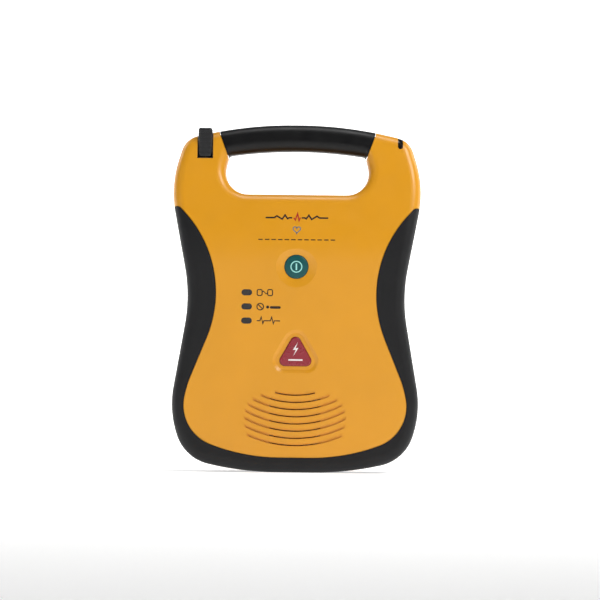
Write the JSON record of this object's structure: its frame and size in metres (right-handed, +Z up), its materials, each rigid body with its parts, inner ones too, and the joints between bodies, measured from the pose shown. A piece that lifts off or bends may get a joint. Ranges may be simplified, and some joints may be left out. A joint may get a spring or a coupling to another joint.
{
  "type": "automated external defibrillator",
  "caption": "Portable defibrillator: moulded case with a rubber bumper, top handle, on/off and shock buttons, lead plug and slide-out battery.",
  "frame": {"origin": "middle of the base, under the case", "axes": "+X to the right seen from the front, +Y to the back (the controls face -Y), +Z up through the handle"},
  "size_m": [0.2136, 0.069, 0.3],
  "materials": {
    "yellow_shell": "fine moulded texture, satin",
    "bumper_rubber": "moulded rubber, fine grain",
    "grip_rubber": "moulded rubber, satin",
    "seal_rubber": "extruded rubber cord",
    "black_plastic": "moulded",
    "green_button": "moulded, satin",
    "spring_steel": "drawn wire and strip",
    "switch_plastic": "moulded",
    "shock_red": "moulded, semi-gloss",
    "smoked_lens": "polished, smoked",
    "led_clear": "clear epoxy",
    "foam": "closed cell foam",
    "stamped_steel": "zinc plated",
    "cone_paper": "pressed paper",
    "ferrite": "sintered ferrite",
    "circuit_board": "glass fibre laminate with solder mask",
    "screw_steel": "zinc plated",
    "capacitor_can": "film capacitor, wrapped",
    "white_plastic": "moulded nylon",
    "winding_tape": "polyester tape over wire",
    "relay_black": "moulded",
    "chip_epoxy": "epoxy",
    "aluminium_sink": "extruded",
    "battery_plastic": "moulded",
    "battery_cap": "moulded, fine texture",
    "cell_sleeve": "heat-shrink sleeve",
    "gold_contact": "gold flash",
    "eject_orange": "moulded",
    "plug_black": "moulded, satin",
    "label_film": "blank polyester film"
  },
  "bodies": {
    "case": {"front_cover": "yellow_shell", "back_cover": "yellow_shell", "side_bumper": "bumper_rubber", "handle_grip": "grip_rubber", "case_seal": "seal_rubber", "battery_bay": "black_plastic", "on_off_spring": "spring_steel", "on_off_switch": "switch_plastic", "shock_spring": "spring_steel", "shock_switch": "switch_plastic", "status_lenses": "smoked_lens", "indicator_leds": "led_clear", "status_window": "smoked_lens", "status_led": "led_clear", "speaker_gasket": "foam", "speaker_frame": "stamped_steel", "speaker_cone": "cone_paper", "speaker_magnet": "ferrite", "control_board": "circuit_board", "main_board": "circuit_board", "board_screws": "screw_steel", "board_link": "switch_plastic", "shock_capacitor": "capacitor_can", "capacitor_saddles": "white_plastic", "transformer_core": "ferrite", "transformer_winding": "winding_tape", "discharge_relay": "relay_black", "board_chips": "chip_epoxy", "heat_sink": "aluminium_sink", "bay_contacts": "gold_contact", "battery_latch": "spring_steel", "eject_guide": "black_plastic", "eject_spring": "spring_steel", "pads_socket": "black_plastic", "socket_contacts": "gold_contact", "rating_plate": "label_film", "case_screws": "screw_steel"},
    "on_off": {"on_off_button": "green_button"},
    "shock": {"shock_button": "shock_red"},
    "battery_pack": {"battery_case": "battery_plastic", "battery_end_cap": "battery_cap", "lithium_cells": "cell_sleeve", "nine_volt_cell": "cell_sleeve", "battery_terminals": "gold_contact"},
    "eject": {"eject_button": "eject_orange"},
    "pads_plug": {"plug_body": "plug_black", "plug_pins": "gold_contact"}
  },
  "joints": [
    {"name": "on_off_press", "type": "slide", "parent": "case", "child": "on_off", "axis": [0, 1, 0], "range_m": [0, 0.002], "stiffness_N_per_m": 900, "springref_m": -0.002, "deforming": ["on_off_spring"]},
    {"name": "shock_press", "type": "slide", "parent": "case", "child": "shock", "axis": [0, 1, 0], "range_m": [0, 0.002], "stiffness_N_per_m": 900, "springref_m": -0.002, "deforming": ["shock_spring"]},
    {"name": "battery_slide", "type": "slide", "parent": "case", "child": "battery_pack", "axis": [-1, 0, 0], "range_m": [0, 0.13], "deforming": ["battery_latch"]},
    {"name": "eject_press", "type": "slide", "parent": "case", "child": "eject", "axis": [1, 0, 0], "range_m": [0, 0.003], "stiffness_N_per_m": 600, "springref_m": -0.002, "deforming": ["eject_spring", "battery_latch"]},
    {"name": "pads_plug_pull", "type": "slide", "parent": "case", "child": "pads_plug", "axis": [0, 0, 1], "range_m": [0, 0.04]}
  ]
}
